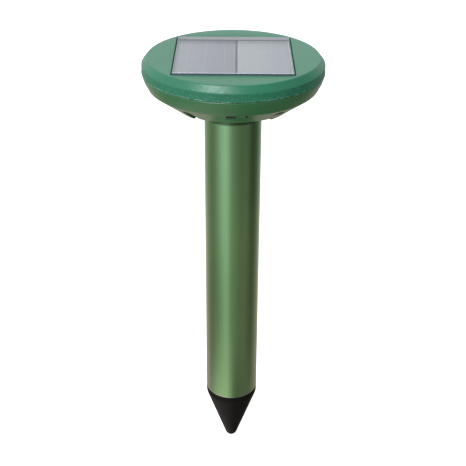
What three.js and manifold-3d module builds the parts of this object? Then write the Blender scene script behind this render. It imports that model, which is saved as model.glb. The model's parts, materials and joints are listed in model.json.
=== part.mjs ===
// Solar ultrasonic pest repeller on a ground spike, in millimetres, +Z up.
// The origin is at the tip of the spike and the switch faces -Y.
import * as THREE from 'three';
import Module from 'manifold-3d';
import { mergeVertices } from 'three/addons/utils/BufferGeometryUtils.js';

const wasm = await Module();
wasm.setup();

// Driving dimensions.
const gap = 0.3;
const tubeRadius = 20;
const tubeWall = 1.5;
const tubeBottom = 52.5;
const tubeTop = 310.9;
const noseRadius = 5;
const spikeHalfAngle = THREE.MathUtils.degToRad(19);
const spikeShoulderLength = 4.5;
const plugLength = 20;
const headTop = 328;
const ridgeRadius = 58.55;
const headRadius = 62.1;
const bevelHeight = 4.45;
const seamHeight = headTop - 10.2;
const wall = 2.3;
const hipRadius = 58.7;
const hipHeight = 308.5;
const coneSlope = 0.729;
const rimHeight = 297;
const padHeight = 294.4;
const padInnerRadius = 37.6;
const recessCeiling = 303.5;
const socketRadius = 20.45;
const socketCeiling = 312.7;
const spigotRadius = 14.6;
const spigotBore = 12.2;
const raisedRimHalfAngle = 39;
const housingFloor = 299.4;
const coneThickness = 2.85;
const spigotBottom = 300.5;
const screwCircle = 50.3;
const screwAngles = [35, 145, -145, -35];
const wellRadius = 3.8;
const seatHeight = 309;
const boardScrews = { x: [-14.5, 14.5], y: -31, pilotRadius: 1.3 };
const pocket = { x: 40.2, y: 39.6, depth: 4.1 };
const glass = { x: 39.1, y: 38.3, proud: 1.0, thickness: 2.5 };
const cellSplit = 2;
const switchWindow = { x0: -4.6, x1: 9.2, y0: -57.2, y1: -50 };
const bezel = { wall: 0.55, inset: 0.9 };
const knob = { x: 5, y: -53.2, width: 6, depth: 4, height: 5.4 };
const switchBottom = 310.6;
const boardBottom = 317;
const boardThickness = 1.6;
const batteryX = 40;
const batteryZ = 314.1;
const batteryRadius = 7.1;
const batteryLength = 49.2;
const speakerBase = 86;
const connectorHeight = 296;
const connectorLength = 10;
const headSides = 48;
const tubeSides = 36;
const smallSides = 32;

const headColour = '#3c8f6c';
const lowerColour = '#5b8a5c';
const aluminiumGreen = '#6f9a5e';
const black = '#202122';
const steel = '#8b8d8f';
const contactMetal = '#b9b6ad';
const nylon = '#e4e1d6';
const redLead = '#7a1f1c';
const blackLead = '#1f1f1f';

const object = new THREE.Group();

// Solids.
function toSolid(geometry) {
  const bare = geometry.clone();
  bare.deleteAttribute('normal');
  bare.deleteAttribute('uv');
  const merged = mergeVertices(bare, 1e-4);
  const index = merged.index.array;
  const kept = [];
  for (let i = 0; i < index.length; i += 3) {
    const [a, b, c] = [index[i], index[i + 1], index[i + 2]];
    if (a !== b && b !== c && c !== a) kept.push(a, b, c);
  }
  return new wasm.Manifold(new wasm.Mesh({
    numProp: 3,
    vertProperties: new Float32Array(merged.attributes.position.array),
    triVerts: new Uint32Array(kept),
  }));
}

function toGeometry(solid) {
  const mesh = solid.getMesh();
  const geometry = new THREE.BufferGeometry();
  geometry.setAttribute('position', new THREE.BufferAttribute(mesh.vertProperties, 3));
  geometry.setIndex(new THREE.BufferAttribute(mesh.triVerts, 1));
  geometry.computeVertexNormals();
  return geometry;
}

function addPart(name, solid, colour, roughness, metalness) {
  const material = new THREE.MeshStandardMaterial({ color: colour, roughness, metalness });
  const mesh = new THREE.Mesh(toGeometry(solid), material);
  mesh.name = name;
  object.add(mesh);
}

// A profile of [radius, height] points turned about Z; its walls run anticlockwise.
function turned(profile, segments) {
  const points = profile.map(([radius, height]) => new THREE.Vector2(radius, height));
  return toSolid(new THREE.LatheGeometry(points, segments).rotateX(Math.PI / 2));
}

function ring(inner, outer, bottom, top, segments) {
  return turned([
    [inner, bottom], [outer, bottom], [outer, top], [inner, top], [inner, bottom],
  ], segments);
}

function disc(radius, bottom, top, segments) {
  return turned([[0, bottom], [radius, bottom], [radius, top], [0, top]], segments);
}

function box(x0, x1, y0, y1, z0, z1) {
  const geometry = new THREE.BoxGeometry(x1 - x0, y1 - y0, z1 - z0);
  geometry.translate((x0 + x1) / 2, (y0 + y1) / 2, (z0 + z1) / 2);
  return toSolid(geometry);
}

function rod(x, y, radius, bottom, top, segments) {
  return disc(radius, bottom, top, segments).translate([x, y, 0]);
}

function rodAlongY(x, z, radius, y0, y1, segments) {
  const geometry = new THREE.CylinderGeometry(radius, radius, y1 - y0, segments);
  geometry.translate(x, (y0 + y1) / 2, z);
  return toSolid(geometry);
}

function arc(centreRadius, centreHeight, radius, from, to, steps) {
  const points = [];
  for (let i = 0; i <= steps; i += 1) {
    const angle = THREE.MathUtils.degToRad(from + (to - from) * i / steps);
    points.push([centreRadius + radius * Math.cos(angle), centreHeight + radius * Math.sin(angle)]);
  }
  return points;
}

// A block with one round end, pointing away from the axis at a compass angle from the front.
function radialBlock(inner, centre, radius, bottom, top, angle, segments) {
  const shape = new THREE.Shape();
  shape.moveTo(radius, -inner);
  shape.lineTo(-radius, -inner);
  shape.lineTo(-radius, -centre);
  shape.absarc(0, -centre, radius, Math.PI, 2 * Math.PI, false);
  const geometry = new THREE.ExtrudeGeometry(shape, {
    depth: top - bottom, bevelEnabled: false, curveSegments: segments,
  });
  geometry.translate(0, 0, bottom);
  return toSolid(geometry).rotate([0, 0, angle]);
}

function onScrewCircle(angle) {
  const radians = THREE.MathUtils.degToRad(angle);
  return [screwCircle * Math.sin(radians), -screwCircle * Math.cos(radians)];
}

function lead(points, radius, steps) {
  const path = new THREE.CatmullRomCurve3(points.map(([x, y, z]) => new THREE.Vector3(x, y, z)));
  const section = new THREE.Shape();
  section.absarc(0, 0, radius, 0, 2 * Math.PI, false);
  return toSolid(new THREE.ExtrudeGeometry(section, {
    extrudePath: path, steps, curveSegments: 3, bevelEnabled: false,
  }));
}

function coil(x, z, y0, y1, radius, wire, turns) {
  const stepsPerTurn = 8;
  const points = [];
  for (let i = 0; i <= turns * stepsPerTurn; i += 1) {
    const angle = 2 * Math.PI * i / stepsPerTurn;
    const along = y0 + (y1 - y0) * i / (turns * stepsPerTurn);
    points.push([x + radius * Math.cos(angle), along, z + radius * Math.sin(angle)]);
  }
  return lead(points, wire, turns * stepsPerTurn);
}

// Outer surface of the lower housing, from the seam down over the cone.
function coneHeight(radius) {
  return hipHeight - 1.4 - (hipRadius - 1.5 - radius) * coneSlope;
}

function coneRadius(height) {
  return hipRadius - 1.5 - (hipHeight - 1.4 - height) / coneSlope;
}

function lowerOuterProfile(bottom) {
  return [
    [coneRadius(bottom), bottom],
    [hipRadius - 1.5, coneHeight(hipRadius - 1.5)],
    [hipRadius - 0.35, hipHeight - 0.5],
    [hipRadius + 0.15, hipHeight + 0.5],
    [60.6, 312.4],
    [headRadius + 0.1, seamHeight - gap / 2],
  ];
}

// Everything inside the lower housing's outer surface.
function lowerEnvelope() {
  const outer = lowerOuterProfile(padHeight);
  return turned([[0, padHeight], ...outer, [0, seamHeight - gap / 2]], headSides);
}

// Everything inside the lower housing's inner surface, less a clearance.
function lowerCavity(clearance) {
  const shrink = wall + clearance;
  return turned([
    [0, housingFloor + clearance],
    [coneRadius(housingFloor + clearance - coneThickness), housingFloor + clearance],
    [hipRadius - shrink - 0.9, coneHeight(hipRadius - shrink - 0.9) + coneThickness],
    [60.6 - shrink, 312.4],
    [headRadius - shrink - 2, seamHeight + 3],
    [0, seamHeight + 3],
  ], headSides);
}

function lowerHousing() {
  const lip = 57.8;
  const below = padHeight - 5;
  const shell = turned([
    [spigotBore, spigotBottom],
    [spigotRadius, spigotBottom],
    [spigotRadius, socketCeiling],
    [socketRadius, socketCeiling],
    [socketRadius, recessCeiling],
    [padInnerRadius, recessCeiling],
    [padInnerRadius, padHeight],
    ...lowerOuterProfile(padHeight),
    [61.25, seamHeight - gap / 2],
    [61.25, seamHeight - 1.6],
    [60.1, seamHeight - 1.6],
    [60.1, seamHeight - gap / 2],
    [59.3, seamHeight - gap / 2],
    [59.3, seamHeight + 2.4],
    [lip, seamHeight + 2.4],
    [lip, 312.4],
    [hipRadius - wall, 309.6],
    [hipRadius - wall - 0.9, coneHeight(hipRadius - wall - 0.9) + coneThickness],
    [coneRadius(housingFloor - coneThickness), housingFloor],
    [padInnerRadius + wall, housingFloor],
    [padInnerRadius + wall, recessCeiling + wall],
    [socketRadius + 2.4, recessCeiling + wall],
    [socketRadius + 2.4, socketCeiling + 2.2],
    [spigotBore, socketCeiling + 2.2],
    [spigotBore, spigotBottom],
  ], headSides);
  const recess = ring(socketRadius, padInnerRadius, below, recessCeiling, headSides);
  let solid = shell;
  for (const angle of screwAngles) {
    const boss = radialBlock(34.8, screwCircle, wellRadius + 2, padHeight, seatHeight + 2.2, angle, 8);
    solid = solid.add(boss.intersect(lowerEnvelope()).subtract(recess));
  }
  // The front and back of the rim stand higher than the two side pads.
  for (const turn of [0, 180]) {
    const sector = new THREE.Shape();
    const half = THREE.MathUtils.degToRad(raisedRimHalfAngle);
    const reach = headRadius + 8;
    sector.moveTo(0, 0);
    sector.lineTo(-reach * Math.sin(half), -reach * Math.cos(half));
    sector.lineTo(reach * Math.sin(half), -reach * Math.cos(half));
    const cut = new THREE.ExtrudeGeometry(sector, { depth: rimHeight - below, bevelEnabled: false });
    cut.translate(0, 0, below);
    solid = solid.subtract(toSolid(cut).rotate([0, 0, turn]));
  }
  for (const angle of screwAngles) {
    solid = solid.subtract(radialBlock(37, screwCircle, wellRadius, below, seatHeight, angle, 8));
    const [x, y] = onScrewCircle(angle);
    solid = solid.subtract(rod(x, y, 1.7, seatHeight - 1, seatHeight + 4, 16));
  }
  for (const x of boardScrews.x) {
    const post = rod(x, boardScrews.y, 2.8, recessCeiling + 1, boardBottom - gap, 16);
    const pilot = rod(x, boardScrews.y, boardScrews.pilotRadius, seatHeight, boardBottom, 12);
    solid = solid.add(post).subtract(pilot);
  }
  const { x0, x1, y0, y1 } = switchWindow;
  return solid.subtract(box(x0, x1, y0, y1, below, switchBottom + 0.4));
}

function topCover() {
  const tray = box(-pocket.x - 2, pocket.x + 2, -pocket.y - 2, pocket.y + 2, 321.8, headTop - 2);
  const floor = headTop - pocket.depth;
  let solid = turned([
    [0, headTop - wall],
    [56.8, headTop - wall],
    [59.6, headTop - 5.2],
    [59.6, seamHeight + gap / 2],
    [headRadius + 0.1, seamHeight + gap / 2],
    [headRadius, headTop - bevelHeight],
    [headRadius - 0.5, headTop - bevelHeight + 1],
    [ridgeRadius + 0.6, headTop - 0.5],
    [ridgeRadius - 0.5, headTop],
    [0, headTop],
  ], headSides);
  solid = solid.add(tray);
  for (const angle of screwAngles) {
    const [x, y] = onScrewCircle(angle);
    solid = solid.add(rod(x, y, 3.6, seatHeight + 2.5, 322.4, 16));
    solid = solid.subtract(rod(x, y, 1.55, seatHeight + 2, 320.5, 12));
  }
  solid = solid.subtract(box(-pocket.x, pocket.x, -pocket.y, pocket.y, floor, headTop + 2));
  return solid.subtract(rod(6, -18, 2.2, 320, floor + 1, 16));
}

function frameOf(x, y, border, bottom, top) {
  return box(-x, x, -y, y, bottom, top)
    .subtract(box(-x + border, x - border, -y + border, y - border, bottom - 1, top + 1));
}

function panel() {
  const floor = headTop - pocket.depth;
  const boardBase = floor + 0.5;
  const cellBase = headTop + glass.proud - glass.thickness - 0.4;
  addPart('panel_seal', frameOf(glass.x - 0.6, glass.y - 0.6, 4, floor + 0.1, boardBase - 0.1),
    black, 0.9, 0);
  addPart('solar_panel_board', box(-glass.x + 0.2, glass.x - 0.2, -glass.y + 0.2, glass.y - 0.2,
    boardBase, cellBase - 0.1), '#c9c9c2', 0.6, 0);
  const cellY = glass.y - 1;
  addPart('solar_cell_left', box(-glass.x + 1, cellSplit - 0.45, -cellY, cellY, cellBase,
    cellBase + 0.3), '#8f90a0', 0.35, 0.2);
  addPart('solar_cell_right', box(cellSplit + 0.45, glass.x - 1, -cellY, cellY, cellBase,
    cellBase + 0.3), '#9a9baa', 0.35, 0.2);
  addPart('panel_glass', box(-glass.x, glass.x, -glass.y, glass.y,
    headTop + glass.proud - glass.thickness, headTop + glass.proud), '#b9bcc6', 0.15, 0);
}

// A screw with a cross recess, its tip above or below its head.
function screw(x, y, capBottom, capTop, tipHeight, capRadius, shankRadius) {
  const upwards = tipHeight > capTop;
  const low = upwards ? capTop - 0.1 : tipHeight;
  const high = upwards ? tipHeight : capBottom + 0.1;
  const slotBottom = upwards ? capBottom - 1 : capTop - 1;
  const head = disc(capRadius, capBottom, capTop, 20);
  const drive = box(-1.9, 1.9, -0.4, 0.4, slotBottom, slotBottom + 2)
    .add(box(-0.4, 0.4, -1.9, 1.9, slotBottom, slotBottom + 2));
  return head.subtract(drive).add(disc(shankRadius, low, high, 12)).translate([x, y, 0]);
}

function fasteners() {
  screwAngles.forEach((angle, i) => {
    const [x, y] = onScrewCircle(angle);
    addPart(`case_screw_${i + 1}`, screw(x, y, seatHeight - 2.4, seatHeight - 0.2, 319.5, 2.9, 1.3),
      steel, 0.35, 1);
  });
  boardScrews.x.forEach((x, i) => {
    const base = boardBottom + boardThickness + 0.2;
    addPart(`board_screw_${i + 1}`, screw(x, boardScrews.y, base, base + 1.6, 310, 2.4, 1.05),
      steel, 0.35, 1);
  });
}

function circuit() {
  const top = boardBottom + boardThickness;
  let board = box(-21, 21, -55.8, -26.5, boardBottom, top);
  board = board.intersect(disc(56.6, boardBottom - 1, top + 1, 48));
  for (const x of boardScrews.x) {
    board = board.subtract(rod(x, boardScrews.y, boardScrews.pilotRadius, boardBottom - 1, top + 1, 12));
  }
  addPart('circuit_board', board, '#2f6b3c', 0.6, 0);
  addPart('driver_chip', box(-9, 0.8, -46.5, -40.2, boardBottom - 3.6, boardBottom - gap), black, 0.5, 0);
  addPart('storage_capacitor', rod(-14.5, -42, 4, boardBottom - 8.3, boardBottom - gap, 20),
    '#2b3550', 0.4, 0);
  addPart('boost_inductor', rod(6.5, -39, 4.2, boardBottom - 5.3, boardBottom - gap, 20)
    .subtract(ring(2.9, 4.6, boardBottom - 4.2, boardBottom - 1.4, 20)), '#5a5148', 0.7, 0);
}

// A sleeve round the switch window, set back from the outer surface.
function switchBezel() {
  const { x0, x1, y0, y1 } = switchWindow;
  const top = switchBottom - gap;
  const outer = box(x0 + gap, x1 - gap, y0 + gap, y1 - gap, padHeight, top);
  const edge = gap + bezel.wall;
  const inner = box(x0 + edge, x1 - edge, y0 + edge, y1 - edge, padHeight - 1, top + 1);
  return outer.subtract(inner).intersect(lowerEnvelope().translate([0, 0, bezel.inset]));
}

function powerSwitch() {
  addPart('switch_bezel', switchBezel(), black, 0.6, 0);
  const slot = box(knob.x - 7.6, knob.x + 2.6, knob.y - 1.4, knob.y + 1.4, switchBottom - 1,
    switchBottom + 3.4);
  const body = box(-5.6, 9.8, knob.y - 2.4, knob.y + 2.4, switchBottom, boardBottom - gap);
  addPart('switch_body', body.subtract(slot), '#9aa0a4', 0.4, 0.8);
  const top = switchBottom - gap;
  const cap = box(knob.x - knob.width / 2, knob.x + knob.width / 2, knob.y - knob.depth / 2,
    knob.y + knob.depth / 2, top - knob.height, top);
  const stem = box(knob.x - 2, knob.x + 2, knob.y - 1, knob.y + 1, top - 0.5, switchBottom + 3);
  let finger = cap.add(stem);
  const groove = { spacing: 1.9, halfWidth: 0.4, depth: 0.7 };
  for (const step of [-1, 0, 1]) {
    const x = knob.x + step * groove.spacing;
    finger = finger.subtract(box(x - groove.halfWidth, x + groove.halfWidth, knob.y - knob.depth,
      knob.y + knob.depth, top - knob.height - 1, top - knob.height + groove.depth));
  }
  addPart('switch_knob', finger, '#24302a', 0.5, 0);
}

function batterySet(side, sign) {
  const x = sign * batteryX;
  const end = batteryLength / 2;
  const trough = rodAlongY(x, batteryZ, batteryRadius + gap, -end - 3.2, end + 3.2, 24);
  const cradle = box(x - 6.6, x + 6.6, -end - 4.4, end + 4.4, 306, 312.5)
    .subtract(trough)
    .intersect(lowerCavity(gap));
  addPart(`battery_holder_${side}`, cradle, black, 0.7, 0);
  const cell = rodAlongY(x, batteryZ, batteryRadius, -end + 0.8, end - 1.4, 24)
    .add(rodAlongY(x, batteryZ, 2.7, -end, -end + 1, 16));
  addPart(`battery_${side}`, cell, '#4b7d4f', 0.4, 0);
  const plateY = -end - 1.4;
  addPart(`battery_plate_${side}`, box(x - 4, x + 4, plateY - 0.6, plateY, 309.8, 318.4),
    contactMetal, 0.3, 1);
  addPart(`battery_spring_${side}`, coil(x, batteryZ, end - 0.7, end + 2.6, 3.2, 0.35, 3),
    contactMetal, 0.3, 1);
  addPart(`battery_lead_${side}_front`, lead([
    [sign * 36.8, plateY - 1.6, 316.2], [sign * 33, -31, 317.4], [sign * 27, -35, 318],
    [sign * 21.8, -37, 317.8],
  ], 0.7, 6), blackLead, 0.6, 0);
  addPart(`battery_lead_${side}_back`, lead([
    [sign * 36.6, end + 4, 316.4], [sign * 31, end + 3, 318], [sign * 27, 18, 318.8],
    [sign * 26.6, -18, 318.8], [sign * 24.4, -28.4, 318.4], [sign * 21.8, -31, 317.8],
  ], 0.7, 12), redLead, 0.6, 0);
}

function tube() {
  return ring(tubeRadius - tubeWall, tubeRadius, tubeBottom, tubeTop, tubeSides);
}

function tubeCollar() {
  return turned([
    [13.4, 297], [18.2, 297], [18.2, tubeTop - 0.3], [15.1, tubeTop - 0.3],
    [15.1, 299], [13.4, 299], [13.4, 297],
  ], tubeSides);
}

function groundSpike() {
  const shoulder = tubeBottom - gap;
  const coneTop = shoulder - spikeShoulderLength;
  const nose = arc(0, noseRadius, noseRadius, -75, -THREE.MathUtils.radToDeg(spikeHalfAngle), 6);
  const apex = noseRadius - noseRadius / Math.sin(spikeHalfAngle);
  const shoulderRadius = (coneTop - apex) * Math.tan(spikeHalfAngle);
  const plugRadius = tubeRadius - tubeWall - gap;
  return turned([
    [0, 0], [nose[0][0], 0], ...nose.slice(1),
    [shoulderRadius, coneTop],
    [shoulderRadius, shoulder],
    [plugRadius, shoulder],
    [plugRadius, shoulder + 8], [plugRadius - 1.2, shoulder + 8],
    [plugRadius - 1.2, shoulder + 10.6], [plugRadius, shoulder + 10.6],
    [plugRadius, shoulder + plugLength - 1.5],
    [plugRadius - 1.2, shoulder + plugLength],
    [14.5, shoulder + plugLength],
    [14.5, shoulder + 2],
    [8.5, 32],
    [0, 30],
  ], tubeSides);
}

function spikeSeal() {
  const middle = tubeBottom - gap + 9.3;
  return turned(arc(17.72, middle, 0.62, 0, 360, 6), smallSides);
}

function speaker() {
  const holder = turned([
    [15.2, speakerBase - 2], [18.2, speakerBase - 2], [18.2, speakerBase + 12],
    [17.5, speakerBase + 12], [17.5, speakerBase], [15.2, speakerBase],
    [15.2, speakerBase - 2],
  ], smallSides);
  addPart('speaker_holder', holder, black, 0.7, 0);
  let basket = turned([
    [15.4, speakerBase + gap], [17.2, speakerBase + gap], [17.2, speakerBase + 1.5],
    [15.8, speakerBase + 1.5], [12.2, speakerBase + 8.5], [12.2, speakerBase + 11],
    [5.7, speakerBase + 11], [5.7, speakerBase + 9.6], [10.9, speakerBase + 9.6],
    [10.9, speakerBase + 7.9], [15.4, speakerBase + gap],
  ], smallSides);
  for (let i = 0; i < 4; i += 1) {
    const vent = box(9, 20, -4, 4, speakerBase + 3, speakerBase + 7);
    basket = basket.subtract(vent.rotate([0, 0, 45 + 90 * i]));
  }
  addPart('speaker_frame', basket, '#8f9296', 0.4, 1);
  addPart('speaker_magnet', ring(6.4, 12, speakerBase + 11.3, speakerBase + 16.3, smallSides),
    '#3a3a3c', 0.6, 0.2);
  const yoke = turned([
    [0, speakerBase + 9.4], [4.2, speakerBase + 9.4], [4.2, speakerBase + 16.6],
    [12, speakerBase + 16.6], [12, speakerBase + 18.4], [0, speakerBase + 18.4],
  ], smallSides);
  addPart('speaker_yoke', yoke, '#9a9da0', 0.35, 1);
  addPart('cone_surround', ring(13.8, 14.7, speakerBase + gap, speakerBase + 0.9, smallSides),
    black, 0.95, 0);
  addPart('speaker_cone', turned([
    [4.7, speakerBase + 6.6], [12.9, speakerBase + 2.1], [13.6, speakerBase + 2.1],
    [5.2, speakerBase + 7.1], [4.7, speakerBase + 7.1], [4.7, speakerBase + 6.6],
  ], smallSides), '#3b3833', 0.95, 0);
  addPart('voice_coil', ring(4.6, 5.3, speakerBase + 7.4, speakerBase + 13, smallSides), '#b07a3a', 0.5, 0.6);
}

function wiring() {
  const low = connectorHeight - connectorLength;
  const high = connectorHeight + connectorLength;
  addPart('connector_plug', box(-4, 4, -2.5, 2.5, low, connectorHeight), nylon, 0.5, 0);
  addPart('connector_socket', box(-4, 4, -2.5, 2.5, connectorHeight + gap, high), nylon, 0.5, 0);
  addPart('speaker_lead_lower', lead([
    [13.4, 0, speakerBase + 13], [15.6, 0, speakerBase + 22], [16, 0, speakerBase + 60],
    [16, 0, 240], [14, 0, 262], [6, 0, 276], [0, 0, 281], [0, 0, low - gap],
  ], 1.3, 30), redLead, 0.6, 0);
  addPart('speaker_lead_upper', lead([
    [0, 0, high + gap], [0, 0, 309], [0, -2, 313.4], [0, -8, 317.6], [0, -17, 318.6],
    [0, -26.5 + gap, 317.9],
  ], 1.3, 14), redLead, 0.6, 0);
  addPart('panel_lead', lead([
    [6, -18, headTop - pocket.depth + 0.2], [6, -18, 321.6], [6, -20.6, 320.2], [6, -26, 320.1],
    [6, -30, 320.1], [6, -31.6, 319.8], [6, -32, 319.2],
  ], 0.8, 12), blackLead, 0.6, 0);
}

addPart('top_cover', topCover(), headColour, 0.45, 0);
addPart('lower_housing', lowerHousing(), lowerColour, 0.5, 0);
addPart('case_gasket', ring(60.25, 61.05, seamHeight - 1.4, seamHeight - 0.1, headSides), black, 0.9, 0);
panel();
fasteners();
circuit();
powerSwitch();
batterySet('left', -1);
batterySet('right', 1);
addPart('neck_seal', ring(15.4, 20.1, tubeTop + gap, socketCeiling - gap, tubeSides), black, 0.9, 0);
addPart('tube', tube(), aluminiumGreen, 0.35, 0.9);
addPart('tube_collar', tubeCollar(), black, 0.6, 0);
wiring();
speaker();
addPart('ground_spike', groundSpike(), '#2a2b2b', 0.6, 0);
addPart('spike_seal', spikeSeal(), black, 0.9, 0);

export default object;
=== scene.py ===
"""Looks of a solar ultrasonic pest repeller: a round solar head on a green tube with a ground spike."""
import json
import math

import bpy
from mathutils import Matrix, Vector


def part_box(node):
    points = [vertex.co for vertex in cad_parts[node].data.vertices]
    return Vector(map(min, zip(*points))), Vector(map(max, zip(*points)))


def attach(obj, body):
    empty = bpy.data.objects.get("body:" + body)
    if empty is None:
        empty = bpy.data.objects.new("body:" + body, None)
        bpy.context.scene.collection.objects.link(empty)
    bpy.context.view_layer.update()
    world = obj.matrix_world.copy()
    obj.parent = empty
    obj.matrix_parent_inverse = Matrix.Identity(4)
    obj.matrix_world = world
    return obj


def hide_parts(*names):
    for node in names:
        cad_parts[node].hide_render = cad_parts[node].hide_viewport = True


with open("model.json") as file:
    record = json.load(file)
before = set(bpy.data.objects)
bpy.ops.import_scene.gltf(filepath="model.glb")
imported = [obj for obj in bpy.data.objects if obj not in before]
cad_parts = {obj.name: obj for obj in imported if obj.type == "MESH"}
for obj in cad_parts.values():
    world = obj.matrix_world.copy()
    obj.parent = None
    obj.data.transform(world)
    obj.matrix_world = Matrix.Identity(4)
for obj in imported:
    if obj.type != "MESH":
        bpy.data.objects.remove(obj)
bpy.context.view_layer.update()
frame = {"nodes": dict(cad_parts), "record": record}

MM = 0.001

# Driving sizes, in millimetres, read from the frame where the frame has them.
TUBE_LOW, TUBE_HIGH = (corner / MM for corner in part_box("tube"))
COVER_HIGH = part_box("top_cover")[1] / MM
GLASS_LOW, GLASS_HIGH = (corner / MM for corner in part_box("panel_glass"))
SPIKE_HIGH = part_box("ground_spike")[1] / MM
HEAD_TOP = COVER_HIGH.z
TUBE_RADIUS = TUBE_HIGH.x
TUBE_WALL = 1.5
RIDGE_RADIUS = 58.55
HEAD_RADIUS = 62.1
BEVEL_HEIGHT = 4.45
SEAM = HEAD_TOP - 10.2
SEAM_GAP = 0.3
WALL = 2.3
HIP_RADIUS = 58.7
HIP_HEIGHT = HEAD_TOP - 19.5
CONE_SLOPE = 0.729
CONE_START_INSET = 1.5
CONE_START_DROP = 1.4
CONE_THICKNESS = 2.85
EDGE_ROUND = 0.35
RIM_HEIGHT = HEAD_TOP - 31
PAD_HEIGHT = HEAD_TOP - 33.6
PAD_INNER = 37.6
RECESS_CEILING = HEAD_TOP - 24.5
SOCKET_RADIUS = 20.45
SOCKET_CEILING = HEAD_TOP - 15.3
SPIGOT_RADIUS = 14.6
SPIGOT_BORE = 12.2
SPIGOT_LOW = HEAD_TOP - 27.5
SCREW_CIRCLE = 50.3
SCREW_ANGLES = (35, 145, -145, -35)
WELL_RADIUS = 3.8
RAISED_RIM_HALF_ANGLE = 39
SEAT_HEIGHT = HEAD_TOP - 19
BOARD_SCREW_X = (-14.5, 14.5)
BOARD_SCREW_Y = -31
COVER_INNER_RADIUS = 59.6
POCKET_X = 40.2
POCKET_Y = 39.6
POCKET_DEPTH = 4.1
KNOB_HEIGHT = 5.4
WINDOW_X = (-4.6, 9.2)
WINDOW_Y = (-57.2, -50)
CELL_WIDTH = 38.0
CELL_PITCH = 40.0
CELL_SPLIT = 2.0
SPIKE_HALF_ANGLE = 19
SPIKE_NOSE = 5
SPIKE_SHOULDER_LENGTH = 4.5
CAMERA_PLACE = (0.000476, -0.61988, HEAD_TOP * MM + 0.20653)
CAMERA_TILT = 28.97
CAMERA_PAN = 0.372
CAMERA_LENS = 73.716
AROUND = 192
AROUND_SMALL = 64


# Modelling helpers.
def deselect():
    bpy.ops.object.select_all(action="DESELECT")


def select_only(piece):
    deselect()
    piece.select_set(True)
    bpy.context.view_layer.objects.active = piece


def settle(piece):
    """Puts a piece's place into its mesh, so that its object sits at the origin."""
    select_only(piece)
    bpy.ops.object.transform_apply(location=True, rotation=True, scale=True)


def turned(name, outline, steps):
    """Draws an outline of (radius, height) points vertex by vertex and spins it about the tube's axis."""
    deselect()
    radius, height = outline[0]
    bpy.ops.mesh.primitive_plane_add(size=MM, location=(radius * MM, 0, height * MM))
    piece = bpy.context.object
    piece.name = name
    settle(piece)
    bpy.ops.object.mode_set(mode="EDIT")
    bpy.ops.mesh.select_mode(type="VERT")
    bpy.ops.mesh.select_all(action="SELECT")
    bpy.ops.mesh.merge(type="CENTER")
    for (r0, z0), (r1, z1) in zip(outline, outline[1:]):
        step = ((r1 - r0) * MM, 0, (z1 - z0) * MM)
        bpy.ops.mesh.extrude_vertices_move(TRANSFORM_OT_translate={"value": step})
    bpy.ops.mesh.select_all(action="SELECT")
    bpy.ops.mesh.spin(steps=steps, angle=2 * math.pi, center=(0, 0, 0), axis=(0, 0, 1))
    tidy_surface()
    bpy.ops.object.mode_set(mode="OBJECT")
    return piece


def tidy_surface():
    """Merges doubled points and points every face outwards."""
    bpy.ops.mesh.select_all(action="SELECT")
    bpy.ops.mesh.remove_doubles(threshold=0.002 * MM)
    bpy.ops.mesh.normals_make_consistent(inside=False)


def arc(centre_radius, centre_height, radius, start, end, steps):
    """Points along a round stretch of an outline, with angles in degrees from the outward direction."""
    points = []
    for i in range(steps + 1):
        angle = math.radians(start + (end - start) * i / steps)
        points.append((centre_radius + radius * math.cos(angle), centre_height + radius * math.sin(angle)))
    return points


def block(name, x0, x1, y0, y1, z0, z1, round_edges=0.0):
    """A box between two corners, in millimetres, with its upright edges rounded."""
    deselect()
    centre = (Vector((x0, y0, z0)) + Vector((x1, y1, z1))) / 2 * MM
    bpy.ops.mesh.primitive_cube_add(size=1, location=centre)
    piece = bpy.context.object
    piece.name = name
    piece.scale = ((x1 - x0) * MM, (y1 - y0) * MM, (z1 - z0) * MM)
    settle(piece)
    if round_edges:
        bpy.ops.object.mode_set(mode="EDIT")
        bpy.ops.mesh.select_mode(type="EDGE")
        bpy.ops.mesh.select_all(action="DESELECT")
        bpy.ops.object.mode_set(mode="OBJECT")
        for edge in piece.data.edges:
            a, b = (piece.data.vertices[i].co for i in edge.vertices)
            edge.select = abs(a.z - b.z) > 0.5 * (z1 - z0) * MM
        bpy.ops.object.mode_set(mode="EDIT")
        bpy.ops.mesh.bevel(offset=round_edges * MM, segments=5, affect="EDGES")
        bpy.ops.object.mode_set(mode="OBJECT")
    return piece


def peg(name, x, y, radius, z0, z1, sides=32):
    """An upright round peg."""
    deselect()
    bpy.ops.mesh.primitive_cylinder_add(vertices=sides, radius=radius * MM, depth=(z1 - z0) * MM,
                                        location=(x * MM, y * MM, (z0 + z1) / 2 * MM))
    piece = bpy.context.object
    piece.name = name
    settle(piece)
    return piece


def combine(piece, tools, operation):
    """Joins or cuts a piece with other pieces, which are used up."""
    for tool in tools:
        select_only(piece)
        modifier = piece.modifiers.new("combine", "BOOLEAN")
        modifier.object = tool
        modifier.operation = operation
        modifier.solver = "EXACT"
        bpy.ops.object.modifier_apply(modifier=modifier.name)
        bpy.data.objects.remove(tool)
    return piece


def soften(piece, width, segments=2, angle=30):
    """Rounds the edges sharper than an angle."""
    select_only(piece)
    modifier = piece.modifiers.new("soften", "BEVEL")
    modifier.width = width * MM
    modifier.segments = segments
    modifier.limit_method = "ANGLE"
    modifier.angle_limit = math.radians(angle)
    modifier.use_clamp_overlap = True
    bpy.ops.object.modifier_apply(modifier=modifier.name)


def turn(piece, degrees):
    """Turns a piece about the tube's axis."""
    select_only(piece)
    piece.rotation_euler = (0, 0, math.radians(degrees))
    settle(piece)
    return piece


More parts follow.
